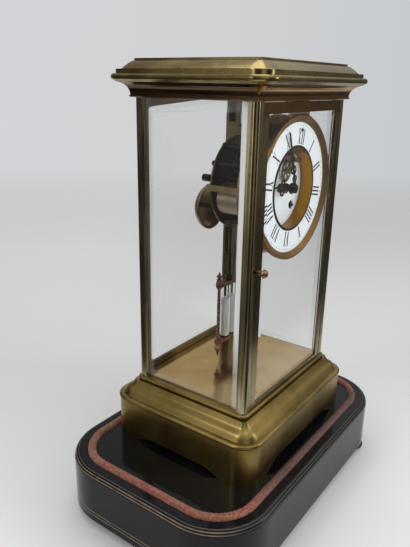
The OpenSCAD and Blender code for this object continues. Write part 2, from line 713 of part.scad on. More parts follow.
module dial_bezel() color(gilt) at_seat() {
  lathe([[enamel_r + 1, enamel_front + 0.3], [bezel_r, enamel_front + 0.3], [bezel_r, bezel_front + 0.8],
    [bezel_r - 0.8, bezel_front], [bezel_r - 1.8, bezel_front], [enamel_r, enamel_front - 0.7],
    [enamel_r, enamel_front], [enamel_r + 1, enamel_front]]);
  wall = post_out_x - post_w;
  for (s = [0, 1]) mirror([s, 0, 0]) difference() {
    union() {
      box([bezel_r - 1.8, -48, -6], [wall, enamel_front + 0.3, 2]);
      box([wall - 1.4, -49.4, -6], [wall, -45.6, 8]);
    }
    translate([wall - 2, lug_y, lug_screw_z]) rotate([0, 90, 0]) cylinder(r = 1, h = 4);
  }
  difference() {
    box([-15, -48, 45], [15, enamel_front + 0.3, cage_h - dial_z]);
    rod(bezel_r - 1, -60, 0);
  }
  box([-15, -48, cage_h - dial_z - 1.4], [15, -43, cage_h - dial_z]);
}

module dial_drum() color(drum_brown) at_dial() difference() {
  lathe([[drum_r - 1.4, enamel_front + 0.3], [drum_r, enamel_front + 0.3], [drum_r, drum_back],
    [drum_open_r, drum_back], [drum_open_r, drum_back - 1.5], [drum_r - 1.4, drum_back - 1.5]]);
  for (a = dial_feet) rod(1, drum_back - 3, drum_back + 1, dial_foot_r * aim(a));
  rod(1.2, drum_back - 3, drum_back + 1, [0, regulator_z]);
}
dial_feet = [30, 150, 270];

module dial_plate() color(movement_brass) at_dial() {
  difference() {
    rod(enamel_r + enamel_lap, enamel_back, enamel_back + 0.9);
    rod(well_r + enamel_lap + run_gap, enamel_back - eps, enamel_back + 2);
    rod(1.5, enamel_back - eps, enamel_back + 2, [0, regulator_z]);
  }
  for (a = dial_feet) {
    rod(1.6, enamel_back + 0.9, drum_back - 1.5, dial_foot_r * aim(a));
    rod(1, drum_back - 1.5, drum_back + 1, dial_foot_r * aim(a));
  }
}

module chapter_ring() color(enamel) at_dial() difference() {
  rod(enamel_r + enamel_lap, enamel_front, enamel_back);
  rod(well_r + enamel_lap, enamel_front - eps, enamel_back + eps);
  rod(1.6, enamel_front - eps, enamel_back + eps, [0, regulator_z]);
}

module well_ring() color(gilt) at_dial() lathe([
  [well_r, enamel_front - 0.6], [well_r + 0.6, enamel_front - 0.8],
  [well_r + 1.8, enamel_front - 0.3], [well_r + 1.8, enamel_front], [well_r + enamel_lap, enamel_front],
  [well_r + enamel_lap, well_floor + 2.1], [well_r - 1.8, well_floor + 2.1], [well_r - 1.8, well_floor + 1.3],
  [well_r, well_floor + 1.3]]);

module dial_centre() color(enamel) at_dial() difference() {
  rod(well_r - 0.05, well_floor, well_floor + 1.3);
  for (p = concat([[going_at, 3.5], [strike_at, 3.5], [centre_at, 3.2], [escape_at, 1.6], [anchor_at, 1.6]],
      [for (f = cock_feet) [f, 2]]))
    rod(p[1], well_floor - eps, well_floor + 2, p[0]);
}

// Hands, pierced, drawn pointing up and turned to the time shown
module minute_hand() color(bronze) at_dial() rotate([0, minute_angle, 0]) {
  difference() {
    union() {
      slab(minute_y, minute_y + 0.6) difference() {
        union() {
          circle(3.6);
          translate([0, 8.5]) circle(3);
          translate([0, 15.5]) circle(3.6);
          translate([0, 24]) circle(2.6);
          translate([0, 30.5]) circle(1.7);
          polygon([[-1.1, 3], [1.1, 3], [0.9, 30], [0.25, minute_len],
            [-0.25, minute_len], [-0.9, 30]]);
        }
        for (s = [-1, 1]) {
          translate([s * 1.6, 8.5]) circle(0.8);
          translate([s * 1.9, 15.5]) circle(1.05);
          translate([s * 1.45, 24]) circle(0.65);
        }
      }
      rod(1.9, minute_y - 0.7, -31.6);
      rotate([0, -minute_angle, 0]) slab(-31.6, -30)
        gear(cannon_teeth, gap_phase(cannon_teeth, centre_at, minute_at));
    }
    rod(1.02, -50, -29);
  }
}

module hour_hand() color(bronze) at_dial() rotate([0, hour_angle, 0]) {
  difference() {
    union() {
      slab(hour_y, hour_y + 0.8) difference() {
        union() {
          circle(4.4);
          translate([0, 9.5]) circle(3.9);
          for (s = [-1, 1]) translate([s * 3.4, 15]) circle(2.9);
          translate([0, 19.5]) circle(3.4);
          polygon([[-1.4, 3], [1.4, 3], [1.1, 21], [0.3, hour_len], [-0.3, hour_len], [-1.1, 21]]);
        }
        for (s = [-1, 1]) {
          translate([s * 2.1, 9.5]) circle(1.05);
          translate([s * 3.9, 15]) circle(1.3);
          translate([s * 1.85, 19.7]) circle(0.75);
        }
      }
      rod(2.8, hour_y, -32.4);
      rotate([0, -hour_angle, 0]) slab(-33.6, -32.4) gear(hour_teeth, turn(centre_at, minute_at), hour_m);
    }
    rod(1.96, -50, -29);
  }
}

module minute_wheel() color(movement_brass) at_dial(minute_at) difference() {
  union() {
    slab(-31.4, -30.2) wheel(minute_teeth, turn(minute_at, centre_at));
    slab(-33.7, -31.2) gear(pinion_teeth, gap_phase(pinion_teeth, minute_at, centre_at), hour_m);
  }
  rod(0.95, -40, -29);
}

// Movement frame

pivot_holes = concat([[going_at, wind_r + run_gap], [strike_at, wind_r + run_gap], [anchor_at, 0.9 + run_gap],
    [centre_at, 1 + run_gap]],
  [for (p = [middle_at, third_at, second_at, pin_at, fly_at, hammer_at, escape_at]) [p, arbor_r + run_gap]]);
pillar_holes = [for (p = pillar_places) [p, 1.2]];

module front_plate() color(movement_brass) at_dial() {
  bored_plate(plate_front, concat(pivot_holes, pillar_holes, [for (f = cock_feet) [f, 1]]));
  rod(0.9, plate_front - 5.2, plate_front, minute_at);
}
module back_plate() color(movement_brass) at_dial()
  bored_plate(plate_in_back, concat(pivot_holes, pillar_holes, [[bell_at, 1.2]],
    [for (s = [-1, 1]) [level([s * strap_screw_x, 0]), 1]], [for (s = [-1, 1]) [[s * 10, 30.5], 1]]));

module plate_pillars() color(movement_brass) at_dial() for (p = pillar_places) {
  rod(2.4, plate_in_front, plate_in_back, p);
  rod(1.2, plate_front, plate_back + 2.2, p);
  difference() {
    translate([p[0], plate_back + 1.6, p[1]]) rotate([90, 0, 0]) cylinder(r = 2.7, h = 1.6, $fn = 6);
    rod(1.2, plate_back - 1, plate_back + 3, p);
  }
}

module movement_straps() color(movement_brass) at_seat() for (s = [0, 1]) mirror([s, 0, 0]) difference() {
  union() {
    box([plate_r + 1.2, drum_back, -strap_h / 2], [plate_r + 2.7, plate_back + 1.5, strap_h / 2]);
    box([plate_r + 1.2, drum_back, -strap_h / 2], [plate_r + 7, drum_back + 1.4, strap_h / 2]);
    box([strap_screw_x - 2.5, plate_back, -strap_h / 2], [plate_r + 2.7, plate_back + 1.5, strap_h / 2]);
  }
  rod(1, plate_back - 1, plate_back + 3, [strap_screw_x, 0]);
}

// A slotted screw along Y; its head stands on the face at y = seat and points back.
module screw(p, seat, depth, head = 2.1) difference() {
  union() {
    rod(head, seat, seat + 1.3, p);
    rod(1, seat - depth, seat + 0.1, p);
  }
  translate([p[0], seat + 1.3, p[1]]) cube([2 * head + 1, 1, 0.5], center = true);
}
module movement_screws() color(steel) {
  at_dial() {
    for (s = [-1, 1]) {
      screw(level([s * strap_screw_x, 0]), plate_back + 1.5, 3);
      screw([s * 10, 30.5], 8.8, 5.3, 1.8);
    }
    for (f = cock_feet) mirror([0, 1, 0]) screw(f, 41.5, 14, 1.7);
  }
  wall = post_out_x - post_w;
  at_seat() for (s = [0, 1]) mirror([s, 0, 0]) translate([wall, lug_y, lug_screw_z])
    rotate([0, 0, 90]) screw([0, 0], 1.4, 4.4, 1.7);
}

// Going and strike barrels, each turning on its own winding arbor

module barrel(flank) difference() {
  union() {
    rod(barrel_r, -20, 1);
    slab(-21.4, -20) gear(great_teeth, flank);
  }
  rod(barrel_r - 1, -19, 0);
  rod(wind_r + run_gap, -30, 10);
}
module winding_arbor() {
  rod(wind_r, plate_front - 1, plate_back + 1);
  rod(3, plate_in_front + 0.3, -21.6);
  slab(-37.6, plate_front - 0.5) square(2, center = true);
  slab(plate_front - 1.8, plate_front - 0.2)
    polygon([for (i = [0:11]) each [4.6 * aim(30 * i), 3.7 * aim(30 * i + 3)]]);
}
module going_barrel() color(movement_brass) at_dial(going_at) barrel(turn(going_at, middle_at));
module going_arbor() color(steel) at_dial(going_at) winding_arbor();
module strike_barrel() color(movement_brass) at_dial(strike_at) barrel(turn(strike_at, second_at));
module strike_arbor() color(steel) at_dial(strike_at) winding_arbor();

// An arbor with its pivots in both plates
module arbor() rod(arbor_r, plate_front, plate_back);

module middle_wheel() color(movement_brass) at_dial(middle_at) {
  arbor();
  slab(-23, -18.5) gear(pinion_teeth, gap_phase(pinion_teeth, middle_at, going_at));
  slab(-25.2, -24.2) wheel(middle_teeth, turn(middle_at, centre_at));
}
module centre_wheel() color(movement_brass) at_dial(centre_at) {
  rod(1, minute_y + 2, plate_back);
  slab(-25.8, -23.6) gear(pinion_teeth, gap_phase(pinion_teeth, centre_at, middle_at));
  slab(-27, -26.2) wheel(centre_teeth, turn(centre_at, third_at));
}
module third_wheel() color(movement_brass) at_dial(third_at) {
  arbor();
  slab(-27.2, -25.9) gear(leaf_teeth, gap_phase(leaf_teeth, third_at, centre_at));
  slab(-23, -22.2) wheel(third_teeth, turn(third_at, escape_at));
}
module escape_wheel() color(movement_brass) at_dial(escape_at) {
  rod(arbor_r, -41.3, plate_back);
  slab(-23.4, -21.8) gear(leaf_teeth, gap_phase(leaf_teeth, escape_at, third_at));
  slab(-38.2, -37.4) difference() {
    polygon([for (i = [0:escape_teeth - 1]) let (a = 360 / escape_teeth * i)
      each [escape_r * aim(a), (escape_r - 1.9) * aim(a + 1.5), (escape_r - 1.9) * aim(a + 8)]]);
    difference() {
      circle(escape_r - 3);
      circle(2);
      for (a = [0:60:120]) rotate(a) square([2 * escape_r, 1], center = true);
    }
  }
}
module second_wheel() color(movement_brass) at_dial(second_at) {
  arbor();
  slab(-23, -18.5) gear(pinion_teeth, gap_phase(pinion_teeth, second_at, strike_at));
  slab(1.6, 2.4) wheel(strike_teeth, turn(second_at, pin_at));
}
module pin_wheel() color(movement_brass) at_dial(pin_at) {
  arbor();
  slab(1, 3) gear(leaf_teeth, gap_phase(leaf_teeth, pin_at, second_at));
  slab(-6, -5.2) wheel(strike_teeth, turn(pin_at, fly_at));
  for (i = [0:7]) rod(0.4, -5.2, -3.6, 8.2 * aim(45 * i + 22.5));
}
module fly() color(steel) at_dial(fly_at) {
  arbor();
  slab(-6.8, -4.4) gear(leaf_teeth, gap_phase(leaf_teeth, fly_at, pin_at));
  slab(-3.2, 2.6) square([13, 0.6], center = true);
}

// Escapement

module escapement_cock() color(movement_brass) at_dial() {
  difference() {
    slab(-41.5, -40.2) {
      for (f = cock_feet) translate(f) circle(2.6);
      translate([-13.5, 20.4]) square([27, 3.2]);
      translate([-1.6, 13]) square([3.2, 13.5]);
      translate(escape_at) circle(2.4);
      translate(anchor_at) circle(2.4);
    }
    rod(arbor_r + run_gap, -45, -40, escape_at);
    rod(0.9 + run_gap, -45, -40, anchor_at);
    for (f = cock_feet) rod(1, -45, -40, f);
  }
  for (f = cock_feet) difference() {
    rod(1.8, -40.2, plate_front, f);
    rod(1, -45, -20, f);
  }
}

// The pallets stay just outside the tooth circle through the whole swing.
pallet_at = [for (s = [-1, 1]) escape_at + pallet_gap * [s * sin(47), cos(47)]];
module anchor() color(steel) at_dial() {
  rod(0.9, -41.3, 6.8, anchor_at);
  rod(0.6, 6.5, 7.9, anchor_at);
  slab(-38.6, -37) {
    translate(anchor_at) circle(2.4);
    for (p = pallet_at) {
      polygon([anchor_at + [0, 1.6], anchor_at - [0, 1.6], p + [0, 0.2], p + [0, 2]]);
      translate(p + [0, 1]) circle(1);
    }
  }
  for (p = pallet_at) rod(0.8, -39.4, -36.6, p);
  translate([0, 0, anchor_at[1]]) rotate([0, -beat_turn, 0]) crutch(anchor_at[1] + 10);
}
// The crutch hangs plumb from the anchor's arbor and holds the pendulum rod in its fork.
module crutch(h) {
  slab(5.6, 6.8) {
    circle(2.2);
    translate([-0.8, -h]) square([1.6, h]);
    translate([-2.7, -h - 1]) square([5.4, 2]);
  }
  for (s = [0, 1]) mirror([s, 0, 0]) box([1.7, 5.6, -h - 1], [2.7, 15, 1 - h]);
}

cock_top = regulator_z + 2.5;

module suspension_cock() color(movement_brass) at_dial() difference() {
  union() {
    slab(7.2, 8.8) {
      translate([-12, 26]) square([24, 7]);
      translate([-4, 23.5]) square([8, cock_top - 23.5]);
    }
    for (s = [-1, 1]) rod(2, plate_back, 7.2, [s * 10, 30.5]);
    box([-4, 8.8, 23.5], [4, 16.7, cock_top]);
  }
  box([-5, 9, 22], [5, 15.3, 32]);
  box([-0.95, 9, 31], [0.95, 15.3, 36]);
  rod(0.65, 6, 8.1, anchor_at);
  rod(1.05, 8, 18, anchor_at);
  for (s = [-1, 1]) rod(1, 4, 10, [s * 10, 30.5]);
  rod(1.2, 6, 14.2, [0, regulator_z]);
}

// Pendulum, hanging plumb

pivot_x = anchor_at[1] * sin(beat_turn);
pivot_z = dial_z + anchor_at[1] * cos(beat_turn);
bob_top = bob_low + vial_h;

module pendulum_rod() color(movement_brass) at_pendulum() {
  rod(1, -3.7, 4.4, [0, pivot_z]);
  box([-2, -2.8, pivot_z - 3], [2, 3.1, pivot_z + 2]);
  translate([0, 0, pivot_z]) rotate([0, beat_turn, 0]) box([-0.15, -2.5, 0], [0.15, 2.5, 8]);
  translate([0, 0, bob_top + bob_bar]) {
    cylinder(r = 1.5, h = pivot_z - bob_top - bob_bar);
    cylinder(r = 3.2, h = 4);
  }
}

// A turned finial of the given height on a foot of the given radius
module finial(h, r) rotate_extrude() polygon(concat([[0, 0], [r, 0], [r, 0.12 * h]],
  [for (i = [0:6]) [r * (0.45 + 0.75 * pow(sin(180 * i / 6), 1.5)), h * (0.2 + 0.5 * i / 6)]],
  [for (i = [0:3]) [r * (0.5 - 0.12 * i), h * (0.76 + 0.08 * i)]], [[0, h]]));

module pendulum_frame() color(drum_brown) at_pendulum() {
  for (z = [bob_low - bob_bar, bob_top]) translate([0, 0, z]) linear_extrude(bob_bar) {
    square([2 * pillar_x, 7], center = true);
    for (s = [-1, 1]) translate([s * pillar_x, 0]) circle(3);
  }
  for (s = [-1, 1]) translate([s * pillar_x, 0, 0]) {
    translate([0, 0, bob_low - 0.5]) cylinder(r = 1.4, h = vial_h + 1);
    translate([0, 0, bob_top - 1.5]) cylinder(r1 = 2.2, r2 = 2.9, h = 2);
    translate([0, 0, bob_top + bob_bar - 0.5]) cylinder(r1 = 2.9, r2 = 2.3, h = 3.2);
    translate([0, 0, bob_top + bob_bar + 2.5]) finial(7.5, 2.3);
    translate([0, 0, bob_low - bob_bar]) mirror([0, 0, 1]) finial(13, 2.4);
  }
}

module mercury_vials() color(clear, 0.3) at_pendulum()
  for (s = [-1, 1]) translate([s * vial_x, 0, bob_low]) difference() {
  cylinder(r = vial_r, h = vial_h);
  translate([0, 0, 1.2]) cylinder(r = vial_r - vial_wall, h = vial_h);
}
module mercury() color(silver_pool) at_pendulum() for (s = [-1, 1]) translate([s * vial_x, 0, bob_low + 1.2])
  cylinder(r = vial_r - vial_wall, h = mercury_share * vial_h);

// Bell and hammer

module bell_stand() color(steel) at_dial(bell_at) {
  apex = bell_mouth + bell_deep;
  rod(1.2, plate_in_back, apex + 3.4);
  rod(3, plate_back, plate_back + 2.4);
  rod(1.8, plate_back, apex - 1.1);
  difference() {
    translate([0, apex + 2.6, 0]) rotate([90, 0, 0]) cylinder(r = 3, h = 2.5, $fn = 6);
    rod(1.2, apex - 1, apex + 4);
  }
}
module bell() color(bell_brown) at_dial(bell_at) difference() {
  lathe(concat([for (a = [0:10:80]) [bell_r * cos(a), bell_mouth + bell_deep * sin(a)]],
    [[1, bell_mouth + bell_deep], [1, bell_mouth + bell_deep - 1]],
    [for (a = [80:-10:0]) [(bell_r - 1) * cos(a), bell_mouth + (bell_deep - 1) * sin(a)]]));
  rod(1.25, 0, 60);
}
module hammer() color(steel) at_dial() {
  rod(arbor_r, plate_front, 9, hammer_at);
  slab(7.8, 9) {
    translate(hammer_at) circle(2);
    bar(hammer_at, hammer_head_at, 1.6);
    translate(hammer_head_at) circle(1.2);
  }
  rod(0.7, 7.8, 24.8, hammer_head_at);
  rod(3, 19.3, 24.8, hammer_head_at);
  slab(-5, -3.8) {
    translate(hammer_at) circle(1.6);
    translate(hammer_at + [0, -0.6]) square([2.3, 1.2]);
  }
}
module bar(from, to, w) translate(from) rotate(turn(from, to)) translate([0, -w / 2])
  square([norm(to - from), w]);

// Square at XII that sets the rate from the front
module regulator_arbor() color(steel) at_dial([0, regulator_z]) {
  rod(1.1, -44, 14);
  slab(-47, -43.5) square(1.5, center = true);
}

// Drawing

plinth_board();
plinth_lines();
chenille_ring();
bun_feet();
base_casting();
base_cap();
ring_moulding();
floor_plate();
post_front_left();
post_front_right();
post_back_left();
post_back_right();
post_nuts();
cornice_frame();
cornice_lid();
side_glass_left();
side_glass_right();
front_door_frame();
front_door_glass();
front_knob();
back_door_frame();
back_door_glass();
back_knob();
dial_bezel();
dial_drum();
dial_plate();
chapter_ring();
well_ring();
dial_centre();
minute_hand();
hour_hand();
minute_wheel();
front_plate();
back_plate();
plate_pillars();
movement_straps();
movement_screws();
going_barrel();
going_arbor();
strike_barrel();
strike_arbor();
middle_wheel();
centre_wheel();
third_wheel();
escape_wheel();
second_wheel();
pin_wheel();
fly();
escapement_cock();
anchor();
suspension_cock();
pendulum_rod();
pendulum_frame();
mercury_vials();
mercury();
bell_stand();
bell();
hammer();
regulator_arbor();
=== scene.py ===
"""Crystal regulator clock on its black plinth, dressed for a portrait."""
import math

import bpy
from mathutils import Matrix, Vector


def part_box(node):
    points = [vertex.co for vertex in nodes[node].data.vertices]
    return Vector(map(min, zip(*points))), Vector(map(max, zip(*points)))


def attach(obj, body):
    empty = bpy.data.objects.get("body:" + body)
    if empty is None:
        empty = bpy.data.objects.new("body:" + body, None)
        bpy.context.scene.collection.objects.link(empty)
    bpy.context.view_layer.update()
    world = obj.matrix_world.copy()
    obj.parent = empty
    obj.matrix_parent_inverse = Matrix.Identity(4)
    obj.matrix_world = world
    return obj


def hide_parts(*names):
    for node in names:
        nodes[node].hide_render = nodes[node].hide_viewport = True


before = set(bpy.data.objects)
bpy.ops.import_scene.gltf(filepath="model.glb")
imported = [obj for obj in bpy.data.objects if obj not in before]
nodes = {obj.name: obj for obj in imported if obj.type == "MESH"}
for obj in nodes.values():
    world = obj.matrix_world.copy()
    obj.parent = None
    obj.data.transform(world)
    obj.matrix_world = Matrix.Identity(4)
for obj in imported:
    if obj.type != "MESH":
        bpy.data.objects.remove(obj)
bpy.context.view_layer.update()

MM = 0.001
CLOCK = Vector((4.7, 2.7, 104.0)) * MM          # foot of the glass cage
DIAL = CLOCK + Vector((0, 0, 164)) * MM         # centre of the dial
ENAMEL_Y = DIAL.y - 46.3 * MM                   # front of the enamel
BEAT = math.radians(10)                         # clockwise turn of the dial in its bezel
INK_T = 0.05 * MM                               # thickness of the numerals and marks
LETTER_WIDE = {"I": 2.6, "V": 5.0, "X": 5.0}    # width of each Roman letter, in mm
PLINTH_R, GROOVE_INSET, GROOVE_W = 48, 10.5, 7.6    # plinth's corner radius and its groove, in mm
CORNICE_SHADE_BAND = (0.3325, 0.3440)                 # heights of the cornice's cove: painted shade, a copper painted reflection in front
DOOR_BAND = (0.3225, 0.3345)                    # heights between which the doors are coloured a darker copper band
PANE_TINT = (0.99, 0.995, 0.992)
DAYLIGHT = (1, 0.98, 0.94)


# Hand tools

def put_down():
    """Leaves edit mode and drops the whole selection."""
    if bpy.context.object and bpy.context.object.mode != "OBJECT":
        bpy.ops.object.mode_set(mode="OBJECT")
    bpy.ops.object.select_all(action="DESELECT")


def take(*pieces):
    """Selects these pieces, the last one active."""
    put_down()
    for piece in pieces:
        piece.select_set(True)
    bpy.context.view_layer.objects.active = pieces[-1]


def pick(piece, wanted):
    """In edit mode, selects the vertices that the test picks."""
    bpy.ops.object.mode_set(mode="EDIT")
    bpy.ops.mesh.select_mode(type="VERT")
    bpy.ops.mesh.select_all(action="DESELECT")
    bpy.ops.object.mode_set(mode="OBJECT")
    for v in piece.data.vertices:
        v.select = bool(wanted(v.co))
    bpy.ops.object.mode_set(mode="EDIT")


def settle(piece):
    """Puts the piece's place and turn into its mesh."""
    take(piece)
    bpy.ops.object.transform_apply(location=True, rotation=True, scale=True)


def join(pieces, name):
    """One mesh from several, under the given name."""
    take(*pieces)
    bpy.ops.object.join()
    piece = bpy.context.object
    piece.name = name
    piece.data.name = name
    return piece


def copy_of(piece):
    """A second piece with a mesh of its own."""
    twin = piece.copy()
    twin.data = piece.data.copy()
    bpy.context.collection.objects.link(twin)
    return twin


def onto_dial(piece, y):
    """Stands a flat drawing, made in X and Y round the origin, on the turned dial at depth y."""
    upright = Matrix.Rotation(math.radians(90), 4, "X") @ Matrix.Rotation(-BEAT, 4, "Z")
    piece.matrix_world = Matrix.Translation((DIAL.x, y, DIAL.z)) @ upright
    settle(piece)


# Steps that the finishes share

def new_finish(name):
    """A new material with its node tree and its shader."""
    finish = bpy.data.materials.new(name)
    finish.use_nodes = True
    tree = finish.node_tree
    return finish, tree, tree.nodes["Principled BSDF"]


def add(tree, kind, settings=None, **links):
    """A node with its settings, and values or sockets on its inputs, by name or as _0, _1, _2."""
    made = tree.nodes.new(kind)
    for key, value in (settings or {}).items():
        setattr(made, key, value)
    for key, value in links.items():
        number = key[1:]
        socket = made.inputs[int(number) if number.isdigit() else key.replace("_", " ")]
        if isinstance(value, bpy.types.NodeSocket):
            tree.links.new(value, socket)
        else:
            socket.default_value = value
    return made


def place(tree, scale=(1, 1, 1), turn=(0, 0, 0), middle=(0, 0, 0)):
    """The piece's own coordinates, stretched, turned or centred."""
    where = tree.nodes.new("ShaderNodeTexCoord").outputs["Object"]
    mapping = add(tree, "ShaderNodeMapping", {"vector_type": "POINT"}, Vector=where)
    mapping.inputs["Location"].default_value = [-m * s for m, s in zip(middle, scale)]
    mapping.inputs["Rotation"].default_value = [math.radians(t) for t in turn]
    mapping.inputs["Scale"].default_value = scale
    return mapping.outputs["Vector"]


def axes(tree, where):
    """The X, Y and Z of a place."""
    return add(tree, "ShaderNodeSeparateXYZ", Vector=where).outputs


def along(tree, where, way):
    """How far a place lies in a direction."""
    dot = add(tree, "ShaderNodeVectorMath", {"operation": "DOT_PRODUCT"}, _0=where, _1=way)
    return dot.outputs["Value"]


def maths(tree, operation, *numbers):
    """One step of arithmetic on one number or two."""
    links = {f"_{i}": number for i, number in enumerate(numbers)}
    return add(tree, "ShaderNodeMath", {"operation": operation}, **links).outputs[0]


def cloud(tree, where, scale, detail=4.0, rough=0.55, warp=0.0):
    """Soft noise from 0 to 1."""
    return add(tree, "ShaderNodeTexNoise", Vector=where, Scale=scale, Detail=detail,
               Roughness=rough, Distortion=warp).outputs["Fac"]


def graded(tree, fac, *stops):
    """A colour ramp through (position, colour) stops."""
    ramp = add(tree, "ShaderNodeValToRGB", Fac=fac)
    band = ramp.color_ramp.elements
    while len(band) < len(stops):
        band.new(0.5)
    for slot, (at, colour) in zip(band, stops):
        slot.position = at
        slot.color = (*colour, 1)
    return ramp.outputs["Color"]


def level(tree, fac, low, high, start=0.0, end=1.0):
    """A number that goes from low to high while fac goes from start to end."""
    return add(tree, "ShaderNodeMapRange", _0=fac, _1=start, _2=end, _3=low,
               _4=high).outputs["Result"]


def blend(tree, fac, a, b):
    """A colour between a and b."""
    mix = add(tree, "ShaderNodeMix", {"data_type": "RGBA"}, _0=fac)
    for socket, value in ((mix.inputs[6], a), (mix.inputs[7], b)):
        if isinstance(value, bpy.types.NodeSocket):
            tree.links.new(value, socket)
        else:
            socket.default_value = (*value, 1)
    return mix.outputs[2]


def relief(tree, shader, height, strength, depth):
    """Fine unevenness of the surface."""
    bump = add(tree, "ShaderNodeBump", Height=height, Strength=strength, Distance=depth)
    tree.links.new(bump.outputs["Normal"], shader.inputs["Normal"])


def join_to(tree, shader, **links):
    """Links sockets to the shader's named inputs."""
    for key, value in links.items():
        tree.links.new(value, shader.inputs[key.replace("_", " ")])


# Finishes

def brass(name, deep, bright, stain, rough, grain=(60, 60, 900), stain_share=0.62, dark_band=None,
          painted_glints=None, lip=None):
    """Aged polished brass: clouded colour, stain spots, rubbing marks along the grain.

    A dark band is (low, high, side colour, front colour): between those heights the metal is
    coloured darker, in the side colour, and in the front colour on the front. On the cornice that
    band is painted shade in the hollow of its cove, and the lighter copper on its front is a
    painted reflection. Painted glints are the pale colour of thin upright lines, painted
    highlights standing in for the bright bands that light draws along a rounded upright. A lip
    is (depth, colour): in front of that depth the metal is that colour.
    """
    finish, tree, shader = new_finish(name)
    shader.inputs["Metallic"].default_value = 1
    where = place(tree)
    clouds = cloud(tree, where, 26, detail=6, rough=0.6, warp=0.4)
    colour = graded(tree, clouds, (0.3, deep), (0.68, bright))
    specks = cloud(tree, where, 210, detail=5, rough=0.62)
    spots = level(tree, specks, 0, 1, stain_share, stain_share + 0.12)
    colour = blend(tree, spots, colour, stain)
    # A band coloured darker between two heights; on the cornice it is painted shade in the cove,
    # with a lighter copper painted reflection on the front.
    if dark_band:
        low, high, side, front = dark_band
        front_face, front_end = CLOCK.y - 57 * MM, CLOCK.y - 53 * MM
        darkest = tuple(0.42 * c for c in side)
        spot = axes(tree, where)
        above = level(tree, spot["Z"], 0, 1, low, low + 0.5 * MM)
        below = level(tree, spot["Z"], 1, 0, high - 1.2 * MM, high)
        zone = maths(tree, "MULTIPLY", above, below)
        facing = level(tree, spot["Y"], 1, 0, front_face, front_end)
        patchy = cloud(tree, place(tree, (22, 22, 90)), 1, detail=5, rough=0.65, warp=0.6)
        dark = blend(tree, facing, side, front)
        dark = blend(tree, level(tree, patchy, 0, 0.7, 0.5, 0.72), dark, darkest)
        colour = blend(tree, zone, colour, dark)
    # Painted highlights: pale upright lines standing in for the bright bands that light draws on a
    # rounded post.
    if painted_glints:
        lines = cloud(tree, place(tree, (420, 420, 7)), 1, detail=2, rough=0.5)
        colour = blend(tree, level(tree, lines, 0, 0.9, 0.5, 0.66), colour, painted_glints)
    if lip:
        depth, edge = lip
        ahead = level(tree, axes(tree, where)["Y"], 1, 0, depth, depth + 0.1 * MM)
        colour = blend(tree, ahead, colour, edge)
    marks = cloud(tree, place(tree, grain), 1, detail=3, rough=0.6)
    rubbed = blend(tree, 0.55, clouds, marks)
    join_to(tree, shader, Base_Color=colour,
            Roughness=level(tree, rubbed, rough[0], rough[1], 0.3, 0.7))
    fine = cloud(tree, where, 900, detail=2)
    relief(tree, shader, blend(tree, 0.5, marks, fine), strength=0.09, depth=0.00012)
    return finish


def lacquer():
    """Black polish with dust, faint rubbed scratches and a clear deep gloss."""
    finish, tree, shader = new_finish("black_polish")
    where = place(tree)
    dust = level(tree, cloud(tree, where, 640, detail=2, rough=0.7), 0, 1, 0.72, 0.77)
    base = graded(tree, cloud(tree, where, 18, detail=5),
                  (0.35, (0.003, 0.003, 0.004)), (0.7, (0.007, 0.007, 0.009)))
    scratch = cloud(tree, place(tree, (900, 34, 34), (0, 0, 27)), 1, detail=2)
    rubbed = blend(tree, 0.5, scratch, cloud(tree, where, 60, detail=4))
    join_to(tree, shader, Base_Color=blend(tree, dust, base, (0.075, 0.07, 0.066)),
            Roughness=level(tree, rubbed, 0.07, 0.2, 0.35, 0.7))
    shader.inputs["Specular IOR Level"].default_value = 0.22
    relief(tree, shader, blend(tree, 0.3, scratch, dust), strength=0.08, depth=0.0001)
    return finish


def worn_gilt():
    """Thin gilt lines rubbed dull in patches, and blended almost to black along the plinth's front
    and in the top line.
    """
    front_wall, top_line = (-0.086, -0.066), (0.0519, 0.0524)
    finish, tree, shader = new_finish("line_gilt")
    where = place(tree)
    gilt = graded(tree, cloud(tree, where, 160, detail=4),
                  (0.3, (0.10, 0.074, 0.046)), (0.7, (0.23, 0.172, 0.105)))
    rubbed = level(tree, cloud(tree, where, 70, detail=5, rough=0.7), 0, 1, 0.52, 0.66)
    spot = axes(tree, where)
    front = level(tree, spot["Y"], 0.93, 0, *front_wall)
    upper = level(tree, spot["Z"], 0, 0.8, *top_line)
    gone = maths(tree, "MAXIMUM", maths(tree, "MAXIMUM", rubbed, front), upper)
    join_to(tree, shader, Base_Color=blend(tree, gone, gilt, (0.018, 0.017, 0.017)))
    shader.inputs["Roughness"].default_value = 0.5
    return finish


